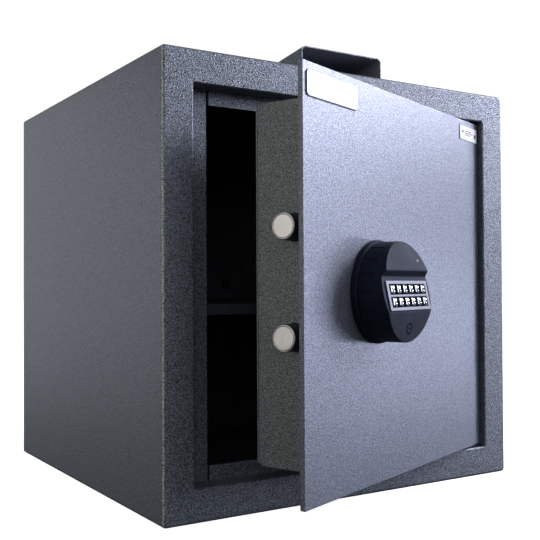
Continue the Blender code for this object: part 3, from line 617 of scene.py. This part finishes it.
def deposit_hood():
    """A folded cover over the slot, open to the front, with a lighter lining as painted fill light in its
    shaded inside.
    """
    low, high = corners("deposit_hood")
    wall, radius, least = 0.0013, 0.0052, 0.0012
    foot = low.z
    loops = []
    for y, roof in hood_roof(low, high, least):
        bend = min(radius, (roof - foot) * 0.8)
        outer = hood_outline(low.x, high.x, foot, roof, bend)
        under = max(roof - wall, foot + least * 0.4)
        bend_inside = max(min(bend - wall * 0.5, (under - foot) * 0.8), 0.0002)
        inner = hood_outline(low.x + wall, high.x - wall, foot, under, bend_inside)
        loops.append(on_y(y, outer + inner[::-1]))
    mesh = skin(loops)
    points_round = len(loops[0])
    for face in mesh.faces:
        # The inner faces take the lighter lining: painted fill light.
        lining = all(vertex.index % points_round >= points_round // 2 for vertex in face.verts)
        face.material_index = int(lining)
    hood = make("deposit_hood_cover", mesh, HERE)
    coat(hood, PAINT, LINING_FILL_LIGHT)
    edges = round_edges(hood, 0.0002, 2, 50.0)
    edges.miter_outer = "MITER_ARC"
    take_modifiers(hood)
    settle(hood, "cabinet", ("deposit_hood",), 40.0)


def cabinet():
    cabinet_shell()
    weld_bead()
    deposit_hood()
    dress(("back_panel",), PAINT, 0.0004)
    dress(("left_jamb", "top_stop_strip", "bottom_stop_strip", "hinge_side_jamb"), PAINT, 0.0011)
    # The shelf, its brackets and the chute take the dark inside paint as painted shade.
    dress(("shelf", "left_shelf_bracket", "right_shelf_bracket", "deposit_chute"), INSIDE_SHADE_PAINT, 0.0007)
    dress(("upper_hinge_bush", "lower_hinge_bush"), OILED_AND_SHADE_STEEL, 0.0003)
    dress(("left_anchor_plug", "right_anchor_plug"), RUBBER, 0.0004)


# --------------------------------------------------------------------------------------- door


def door_plate():
    """The flat door with softly rounded edges, drilled for the dial's spindle."""
    air = 0.002
    low, high = corners("door_plate", DOOR)
    panel = make("door_panel", slab(low, high, 0.0012, 0.0006, 3), DOOR)
    spindle_low, spindle_high = corners("dial_spindle", DOOR)
    middle = (spindle_low + spindle_high) / 2
    middle.y = (low.y + high.y) / 2
    drill(panel, middle, (spindle_high.z - spindle_low.z) / 2 + air, "Y", DOOR)
    coat(panel, DOOR_PAINT)
    settle(panel, "door", ("door_plate",))


def door_box():
    """The folded pan behind the door, with two bolt holes; base and top step in towards the rear."""
    low, high = corners("door_box", DOOR)
    wall, fold, corner, steps = 0.0015, 0.0007, 0.0012, 4
    lip, air = 0.014, 0.0008
    base_taper, top_taper, taper_length = 0.0022, 0.0006, 0.0080

    def loop(y, inset, base=0.0, top=0.0):
        return on_y(y, inset_loop((low.x, low.z + base), (high.x, high.z - top), corner, inset, steps))

    loops = [loop(low.y, wall), loop(low.y, 0.0), loop(high.y - taper_length, 0.0)]
    for a in quarter_turn(4):
        y, inset = high.y - fold * (1 - math.sin(a)), fold * (1 - math.cos(a))
        loops.append(loop(y, inset, base_taper, top_taper))
    loops += [loop(high.y, lip), loop(high.y - wall, lip), loop(high.y - wall, wall)]
    pan = make("door_pan", skin(loops, ring=True), DOOR)
    for end in ("upper", "lower"):
        bolt_low, bolt_high = corners(f"{end}_bolt", DOOR)
        middle = (bolt_low + bolt_high) / 2
        middle.x = low.x
        drill(pan, middle, (bolt_high.z - bolt_low.z) / 2 + air, "X", DOOR, 64)
    # The pan takes the less blue paint: a painted reflection tone.
    coat(pan, PAN_REFLECTION_PAINT)
    settle(pan, "door", ("door_box",), 30.0)


def rear_cover():
    """The flat plate that closes the pan."""
    low, high = corners("rear_cover", DOOR)
    cover = slab(low, high, 0.0025, 0.0005, 4)
    piece("rear_cover_plate", cover, DOOR_PAINT, "door", DOOR, ("rear_cover",))


def cover_screws():
    """Pan-head screws with a cross recess, each turned its own way."""
    head_height, shoulder, crown = 0.0017, 0.0008, 0.0001
    slot_half, slot_half_width, slot_depth, above = 0.0019, 0.00035, 0.0010, 0.001
    for number in range(1, 5):
        node = f"rear_cover_screw_{number}"
        low, high = corners(node, DOOR)
        middle = (low + high) / 2
        head = (high.x - low.x) / 2
        top, under = high.y, high.y - head_height
        profile = [(0, under), (head, under), (head, top - shoulder), (head * 0.6, top - crown), (0, top)]
        aim = DOOR @ Matrix.Translation((middle.x, 0, middle.z))
        screw = make(f"cover_screw_{number}", turn(rounded_profile(profile, 0.0004), 48), aim)
        for turned_by in (20, 110):
            arm_low = (-slot_half, top - slot_depth, -slot_half_width)
            arm_high = (slot_half, top + above, slot_half_width)
            aside = Matrix.Rotation(math.radians(turned_by + 17 * number), 4, "Y")
            cut(screw, box(arm_low, arm_high), aim @ aside)
        coat(screw, STEEL)
        settle(screw, "door", (node,))


def round_bolts():
    """Satin bolts with a chamfered nose and a fine ring turned in the end face; the shaft and the ring are
    dark steel as painted shade.
    """
    chamfer, width, depth = 0.0009, 0.0003, 0.00035
    tail_radius, tail = 0.005, 0.009
    nose_depth, painted_shade_from = 0.00005, 0.0007
    for end in ("upper", "lower"):
        node = f"{end}_bolt"
        low, high = corners(node, DOOR)
        middle = (low + high) / 2
        radius = (high.z - low.z) / 2
        length = high.x - low.x
        ring = radius * 0.86
        profile = [
            (0, 0),
            (ring - width, 0),
            (ring, depth),
            (ring + width, 0),
            (radius - chamfer, 0),
            (radius, chamfer),
            (radius, length - tail),
            (tail_radius, length - tail),
            (tail_radius, length),
            (0, length),
        ]
        mesh = turn(rounded_profile(profile, 0.0002), 96)
        for face in mesh.faces:
            nearest = min(vertex.co.y for vertex in face.verts)
            out = max(math.hypot(vertex.co.x, vertex.co.z) for vertex in face.verts)
            in_ring = nearest > nose_depth and out < ring + width * 1.2
            # Faces behind the nose and in the ring take the dark steel: painted shade.
            face.material_index = int(nearest > painted_shade_from or in_ring)
        aim = Matrix.Translation((low.x, middle.y, middle.z)) @ Matrix.Rotation(-math.pi / 2, 4, "Z")
        bolt = make(f"{end}_locking_bolt", mesh, DOOR @ aim)
        coat(bolt, NICKEL, OILED_AND_SHADE_STEEL)
        settle(bolt, "boltwork", (node,), 25.0)


def name_badge():
    """A blank white badge in a thin dark surround."""
    low, high = corners("name_badge", DOOR)
    rim, thin = Vector((0.0007, 0, 0.0007)), 0.0002
    surround_low = low + Vector((0, thin, 0))
    piece("badge_surround", slab(surround_low, high, 0.004, thin), INK, "door", DOOR)
    face = slab(low + rim, high - rim, 0.0034, thin)
    piece("badge_face", face, BADGE, "door", DOOR, ("name_badge",))


def corner_label():
    """A pale label with five plain dark bars on it, and no lettering."""
    low, high = corners("corner_label", DOOR)
    sunk, bar_depth = Vector((0, 0.00005, 0)), 0.0002
    plate = slab(low + sunk, high, 0.001, 0.0001)
    piece("label_plate", plate, LABEL, "door", DOOR, ("corner_label",))
    width, height = high.x - low.x, high.z - low.z
    bars = [  # left, right, bottom and top, as shares of the label
        (0.10, 0.20, 0.52, 0.66),
        (0.28, 0.66, 0.64, 0.70),
        (0.28, 0.74, 0.50, 0.56),
        (0.28, 0.60, 0.36, 0.42),
        (0.84, 0.93, 0.30, 0.58),
    ]
    for number, (x0, x1, z0, z1) in enumerate(bars, 1):
        bar_low = (low.x + width * x0, low.y, low.z + height * z0)
        bar_high = (low.x + width * x1, low.y + bar_depth, low.z + height * z1)
        piece(f"label_mark_{number}", box(bar_low, bar_high), INK, "door", DOOR)


def door():
    door_plate()
    door_box()
    rear_cover()
    cover_screws()
    round_bolts()
    name_badge()
    corner_label()
    hinges = [f"{end}_hinge_{part}" for end in ("upper", "lower") for part in ("lug", "pin")]
    dress(hinges + ["dog_bar", "carriage_guide_stud", "blocking_pin"], STEEL, 0.0005)
    dress(("upper_bolt_sleeve", "lower_bolt_sleeve"), OILED_AND_SHADE_STEEL, 0.0004)
    dress(("lock_case", "bolt_carriage"), ZINC, 0.0006)


# --------------------------------------------------------------------------------------- dial


HOUSING_LOW, HOUSING_HIGH = corners("dial_housing", DIAL)
DIAL_R = (HOUSING_HIGH.x - HOUSING_LOW.x) / 2
DIAL_BACK_DEPTH = FACE - HOUSING_HIGH.y
FLANGE_LOW, FLANGE_HIGH = corners("dial_base", DIAL)
FLANGE_DEPTH = FACE - FLANGE_LOW.y

# The dial's face, from its top down: a crown, a sloping panel for the keys and a chin.
CROWN_HEAD_DEPTH = 0.0268
CROWN_FOOT_DEPTH = 0.0338
CROWN_FOOT = 0.0195
PANEL_HEAD_DEPTH = 0.0298
PANEL_HEAD = 0.0143
PANEL_FOOT_DEPTH = 0.0367
PANEL_FOOT = -0.0186
CHIN_FOOT_DEPTH = 0.0328
RIM = 0.0008

GROOVES = 18
GROOVE_PITCH = math.radians(360 / GROOVES)
GROOVE_LENGTH = 0.0155
GROOVE_DEPTH = 0.0007
GROOVE_HALF = math.radians(0.8)

KEY_COUNT = 12
LENS_R = 0.0017
PORT_R = 0.0054
INSERT_BACK = 0.0027


def dial_profile():
    """(height, depth) up the dial's face, with its bends softened."""
    points = [
        (-DIAL_R, CHIN_FOOT_DEPTH),
        (PANEL_FOOT, PANEL_FOOT_DEPTH),
        (PANEL_HEAD, PANEL_HEAD_DEPTH),
        (CROWN_FOOT, CROWN_FOOT_DEPTH),
        (DIAL_R, CROWN_HEAD_DEPTH),
    ]
    return rounded_profile(points, 0.0011, 5)


def face_depth(profile, height):
    """How far the face stands out at a height."""
    for (z0, d0), (z1, d1) in zip(profile, profile[1:]):
        if height <= z1:
            return d0 + (d1 - d0) * max(height - z0, 0) / (z1 - z0)
    return profile[-1][1]


def dial_angles(profile):
    """Angles from the top, 0 to 180 degrees: an even spread, the face's bends and the grooves' edges."""
    even, least_step = 60, math.radians(0.12)
    inner = DIAL_R - RIM
    angles = {math.pi * k / even for k in range(even + 1)}
    angles.update(math.acos(z / inner) for z, _ in profile if abs(z) < inner)
    for k in range(GROOVES // 2 + 1):
        middle = math.pi / 2 + GROOVE_PITCH * (k - GROOVES / 4) + GROOVE_PITCH / 2
        for side in (-1.6, -1, 1, 1.6):
            if 0 < middle + side * GROOVE_HALF < math.pi:
                angles.add(middle + side * GROOVE_HALF)
    kept = []
    for angle in sorted(angles):
        if not kept or angle - kept[-1] > least_step:
            kept.append(angle)
    kept[-1] = math.pi
    return kept


def barrel_radius(angle):
    """The barrel's radius at this angle from the top, less where there is a groove."""
    half_pitch = GROOVE_PITCH / 2
    offset = abs((angle - math.pi / 2 + half_pitch) % GROOVE_PITCH - half_pitch)
    return DIAL_R - GROOVE_DEPTH if offset < 1.2 * GROOVE_HALF else DIAL_R


def dial_ring(angles, radius_at, depth_at):
    """A closed loop round the dial, from the radius at an angle and the depth at a height."""
    full = angles + [2 * math.pi - a for a in reversed(angles[1:-1])]
    points = []
    for angle in full:
        folded = min(angle, 2 * math.pi - angle)
        radius = radius_at(folded)
        z = radius * math.cos(folded)
        points.append(Vector((radius * math.sin(angle), FACE - depth_at(z), z)))
    return points


def dial_mesh():
    """The dial's moulding: a grooved barrel, a rounded rim and a face of level strips."""
    profile = dial_profile()
    angles = dial_angles(profile)
    back, groove_end = DIAL_BACK_DEPTH, FLANGE_DEPTH + GROOVE_LENGTH
    chamfer, run_out = 0.0004, 0.0006
    loops = [
        dial_ring(angles, lambda a: barrel_radius(a) - chamfer, lambda z: back),
        dial_ring(angles, barrel_radius, lambda z: back + chamfer),
        dial_ring(angles, barrel_radius, lambda z: groove_end - run_out),
        dial_ring(angles, lambda a: DIAL_R, lambda z: groove_end),
    ]
    for turned_by in quarter_turn(5):
        inset = RIM * (1 - math.cos(turned_by))
        drop = RIM * (1 - math.sin(turned_by))
        loops.append(dial_ring(angles, lambda a: DIAL_R - inset, lambda z: face_depth(profile, z) - drop))
    mesh = bmesh.new()
    rows = [[mesh.verts.new(point) for point in loop] for loop in loops]
    join(mesh, rows)
    mesh.faces.new(rows[0])
    rim = rows[-1]
    count = len(rim)
    for k in range(len(angles) - 1):
        strip = [rim[k], rim[k + 1], rim[(count - k - 1) % count], rim[(count - k) % count]]
        mesh.faces.new(list(dict.fromkeys(strip)))
    return mesh


def key_plane():
    """The frame that the keys stand on: its -Y is the way a key faces, its X runs along a row."""
    inward = DIAL.to_3x3().inverted() @ Vector(JOINTS["key_01_press"]["axis"])
    tilt = math.atan2(-inward.z, inward.y)
    lean = Matrix.Rotation(-tilt, 4, "X")
    low, high = corners("keypad_bezel", DIAL @ lean)
    bezel_back = lean @ Vector(((low.x + high.x) / 2, high.y, (low.z + high.z) / 2))
    return DIAL @ Matrix.Translation(bezel_back) @ lean


def key_boxes():
    """Each key's own box on the keypad: (name, low corner, high corner)."""
    names = [f"key_{number:02d}" for number in range(1, KEY_COUNT + 1)]
    return [(name, *corners(name, KEYPAD)) for name in names]


def row_windows(front, back):
    """One box for each row of keys, as wide as the row with a little air round it."""
    air_beside, air = 0.0014, 0.0004
    boxes = key_boxes()
    half = KEY_COUNT // 2
    windows = []
    for row in (boxes[:half], boxes[half:]):
        low, high = row[0][1], row[-1][2]
        window_low = Vector((low.x - air_beside, front, low.z - air))
        window_high = Vector((high.x + air_beside, back, high.z + air))
        windows.append((window_low, window_high))
    return windows


def insert_frame(height, across, tilt):
    """A frame on the dial's face at a height, leaned to face upwards by the tilt."""
    depth = face_depth(dial_profile(), height)
    place = Matrix.Translation((across, FACE - depth, height))
    return DIAL @ place @ Matrix.Rotation(-tilt, 4, "X")


def dial_housing():
    """The moulding with a well for each row of keys and a seat for each insert."""
    well_floor, seat_floor, air = 0.0046, 0.003, 0.0003
    made = make("dial_moulding", dial_mesh(), DIAL)
    for low, high in row_windows(-CUT_REACH, well_floor):
        cut(made, box(low, high), KEYPAD)
    for plane, radius in ((LENS_PLANE, LENS_R), (PORT_PLANE, PORT_R)):
        cut(made, plug(radius + air, -CUT_REACH, seat_floor), plane)
    coat(made, PLASTIC)
    settle(made, "dial", ("dial_housing",), 32.0)


def dial_flange():
    """The fixed ring that the dial turns against."""
    back, front = FACE - 0.0003, FACE - FLANGE_DEPTH
    bore, chamfer, same_place = 0.007, 0.0016, 0.000001
    outer = (FLANGE_HIGH.x - FLANGE_LOW.x) / 2
    profile = [
        (bore, back),
        (outer - 0.0006, back),
        (outer, back - 0.0008),
        (outer, front + chamfer),
        (outer - chamfer, front),
        (bore, front),
        (bore, back),
    ]
    mesh = turn(rounded_profile(profile, 0.0007), 128)
    bmesh.ops.remove_doubles(mesh, verts=mesh.verts, dist=same_place)
    piece("dial_flange", mesh, PLASTIC, "door", DIAL, ("dial_base",), 30.0)


def keypad_bezel():
    """The silver frame, with one window for each row of keys."""
    low, high = corners("keypad_bezel", KEYPAD)
    made = make("keypad_frame", slab(low, high, 0.0014, 0.0002), KEYPAD)
    for window_low, window_high in row_windows(-CUT_REACH, CUT_REACH):
        cut(made, box(window_low, window_high), KEYPAD)
    coat(made, SILVER)
    settle(made, "dial", ("keypad_bezel",), 30.0)


def pillow_key(low, high):
    """A key with rounded edges and a domed top: chrome on top, black moulding round the skirt as painted
    shade on the key's sides.
    """
    corner, edge, dome, steps, rings = 0.0016, 0.0009, 0.0011, 5, 7
    low_xz, high_xz = (low.x, low.z), (high.x, high.z)
    last_inset = min(high.x - low.x, high.z - low.z) / 2 * 0.97
    shoulder, skirt = low.y + dome, low.y + dome * 0.7
    loops = [on_y(high.y, inset_loop(low_xz, high_xz, corner, 0.0, steps))]
    for angle in quarter_turn(steps):
        inset, y = edge * (1 - math.cos(angle)), shoulder + edge * (1 - math.sin(angle))
        loops.append(on_y(y, inset_loop(low_xz, high_xz, corner, inset, steps)))
    for k in range(1, rings + 1):
        t = k / rings
        inset = edge + (last_inset - edge) * t
        y = shoulder - dome * (1 - (1 - t) ** 2)
        loops.append(on_y(y, inset_loop(low_xz, high_xz, max(corner, inset + 0.0003), inset, steps)))
    mesh = skin(loops)
    for face in mesh.faces:
        # Skirt faces take the black moulding: painted shade on the key's sides.
        face.material_index = int(face.calc_center_median().y > skirt)
    return mesh


def keys():
    """Domed keys, each with a plain dark mark on the lower part of its top: a painted dark reflection."""
    left, right, bottom, top = 0.0022, 0.0004, 0.0008, 0.0003
    front, rear = 0.0001, 0.0017
    for name, low, high in key_boxes():
        middle = (low + high) / 2
        cap = make(f"{name}_cap", pillow_key(low, high), KEYPAD)
        coat(cap, CHROME, PLASTIC)
        settle(cap, name, (name,), 40.0)
        # The mark: a painted dark reflection low on the dome.
        mark_low = (middle.x - left, low.y + front, low.z + bottom)
        mark_high = (middle.x + right, low.y + rear, middle.z - top)
        piece(f"{name}_mark", box(mark_low, mark_high), INK, name, KEYPAD)


def signal_lens():
    """A small domed window for the signal lamp."""
    dome = [(0, -0.0004), (LENS_R * 0.55, -0.00032), (LENS_R * 0.9, 0.0), (LENS_R, 0.0004)]
    dome += [(LENS_R, INSERT_BACK), (0, INSERT_BACK)]
    mesh = turn(rounded_profile(dome, 0.0003), 48)
    piece("signal_window", mesh, LENS, "dial", LENS_PLANE, ("signal_lens",))


def service_port():
    """A round insert that stands in its seat with a dark moat round it and a hole in its middle."""
    hole, moat, top, deep = 0.0013, 0.0010, -0.0001, 0.0022
    profile = [
        (0, deep),
        (hole, deep),
        (hole, top),
        (PORT_R - moat, top),
        (PORT_R - moat, deep),
        (PORT_R, deep),
        (PORT_R, INSERT_BACK),
        (0, INSERT_BACK),
    ]
    mesh = turn(rounded_profile(profile, 0.0003), 64)
    piece("service_insert", mesh, PLASTIC, "dial", PORT_PLANE, ("service_port",))


def dial():
    dial_flange()
    dial_housing()
    keypad_bezel()
    keys()
    signal_lens()
    service_port()
    dress(("dial_spindle", "drive_pinion"), STEEL, 0.0003)


KEYPAD = key_plane()
CROWN_TILT = math.atan2(CROWN_FOOT_DEPTH - CROWN_HEAD_DEPTH, DIAL_R - CROWN_FOOT)
CHIN_TILT = math.atan2(CHIN_FOOT_DEPTH - PANEL_FOOT_DEPTH, PANEL_FOOT + DIAL_R)
LENS_PLANE = insert_frame(height=0.0290, across=0.0250, tilt=CROWN_TILT)
PORT_PLANE = insert_frame(height=-0.0343, across=0.0, tilt=CHIN_TILT)


# ---------------------------------------------------------------- stage, lights and the camera


def floor():
    """A white studio floor that shines as brightly as the backdrop and casts nothing back on the safe."""
    reach, drop = 12.0, 0.0002
    outline = ((-reach, -reach), (reach, -reach), (reach, reach), (-reach, reach))
    mesh = bmesh.new()
    mesh.faces.new([mesh.verts.new((x, y, -drop)) for x, y in outline])
    made = make("studio_floor", mesh, HERE)
    finish = Finish("pale floor", (0.92, 0.92, 0.93), 0.9)
    finish.tint(finish.noise(3, 2.0), (0.91, 0.91, 0.92), (0.93, 0.93, 0.94))
    finish.shader.inputs["Emission Color"].default_value = (1, 1, 1, 1)
    finish.shader.inputs["Emission Strength"].default_value = 0.95
    coat(made, finish.material)
    made.visible_diffuse = False
    made.visible_glossy = False


def area_light(name, place, target, width, height, watts, colour):
    """A rectangular softbox at a place, aimed at a target."""
    data = bpy.data.lights.new(name, "AREA")
    data.shape = "RECTANGLE"
    data.size = width
    data.size_y = height
    data.energy = watts
    data.color = colour
    made = bpy.data.objects.new(name, data)
    bpy.context.scene.collection.objects.link(made)
    made.location = place
    made.rotation_euler = (Vector(target) - Vector(place)).to_track_quat("-Z", "Y").to_euler()


def world():
    """White to the camera; to the safe, a dim studio that is darker below than above."""
    made = bpy.data.worlds.new("studio")
    bpy.context.scene.world = made
    made.use_nodes = True
    tree = made.node_tree
    tree.nodes.clear()
    out = tree.nodes.new("ShaderNodeOutputWorld")
    mix = tree.nodes.new("ShaderNodeMixShader")
    seen = tree.nodes.new("ShaderNodeBackground")
    seen.inputs["Color"].default_value = (1, 1, 1, 1)
    seen.inputs["Strength"].default_value = 1.05
    fill = tree.nodes.new("ShaderNodeBackground")
    fill.inputs["Color"].default_value = (0.92, 0.96, 1.0, 1)
    place = tree.nodes.new("ShaderNodeTexCoord")
    parts = tree.nodes.new("ShaderNodeSeparateXYZ")
    height = map_range(tree, -0.4, 0.5, 0.05, 0.30)
    path = tree.nodes.new("ShaderNodeLightPath")
    tree.links.new(place.outputs["Generated"], parts.inputs["Vector"])
    tree.links.new(parts.outputs["Z"], height.inputs["Value"])
    tree.links.new(height.outputs["Result"], fill.inputs["Strength"])
    tree.links.new(path.outputs["Is Camera Ray"], mix.inputs["Fac"])
    tree.links.new(fill.outputs["Background"], mix.inputs[1])
    tree.links.new(seen.outputs["Background"], mix.inputs[2])
    tree.links.new(mix.outputs["Shader"], out.inputs["Surface"])


def camera():
    """The camera: its place, its back's azimuth from -Y, its back's elevation, and its roll."""
    place, focal_length, film_width = (-0.56390, -0.94032, 0.22437), 57.04, 36.0
    azimuth, elevation, roll = math.radians(-32.361), math.radians(-1.017), math.radians(-0.301)
    back = Vector((
        math.sin(azimuth) * math.cos(elevation),
        -math.cos(azimuth) * math.cos(elevation),
        math.sin(elevation),
    ))
    right = Vector((0, 0, 1)).cross(back).normalized()
    up = back.cross(right)
    turned_right = right * math.cos(roll) + up * math.sin(roll)
    turned_up = up * math.cos(roll) - right * math.sin(roll)
    data = bpy.data.cameras.new("camera")
    data.sensor_width = film_width
    data.lens = focal_length
    data.clip_end = 60.0
    made = bpy.data.objects.new("camera", data)
    bpy.context.scene.collection.objects.link(made)
    axes = Matrix((turned_right, turned_up, back)).transposed().to_4x4()
    made.matrix_world = Matrix.Translation(place) @ axes
    bpy.context.scene.camera = made


def lights():
    """Each softbox: its place, what it is aimed at, its width and height, its watts and its colour."""
    cool, cooler = (0.85, 0.875, 1.0), (0.81, 0.84, 1.0)
    neutral, warm = (0.93, 0.95, 1.0), (1.0, 1.0, 0.82)
    area_light("right_softbox", (1.9, -0.68, 1.24), (0.05, -0.2, 0.34), 1.3, 0.8, 60, cool)
    area_light("right_low_softbox", (1.95, -0.86, 0.11), (0.05, -0.2, 0.10), 1.1, 0.2, 11, cooler)
    area_light("front_softbox", (0.67, -1.75, 0.82), (0.0, -0.2, 0.38), 0.8, 0.5, 5.2, cool)
    area_light("front_low_softbox", (0.62, -1.85, 0.22), (0.0, -0.2, 0.20), 1.0, 0.4, 0.7, cool)
    area_light("camera_fill", (-0.85, -1.70, 0.95), (0.0, -0.2, 0.25), 0.9, 0.9, 3.2, neutral)
    area_light("back_left_softbox", (-1.0, 1.70, 0.42), (-0.2, 0.0, 0.26), 1.4, 1.2, 3.3, neutral)
    area_light("left_strip", (-1.75, -0.1, 0.55), (-0.2, -0.2, 0.25), 0.35, 1.2, 1.6, warm)
    area_light("fold_strip", (-1.7, -0.75, 0.35), (-0.2, -0.2, 0.25), 0.25, 1.3, 2.5, warm)


def main():
    cabinet()
    door()
    dial()
    floor()
    world()
    lights()
    camera()
    bpy.context.scene.view_settings.view_transform = "Standard"


main()
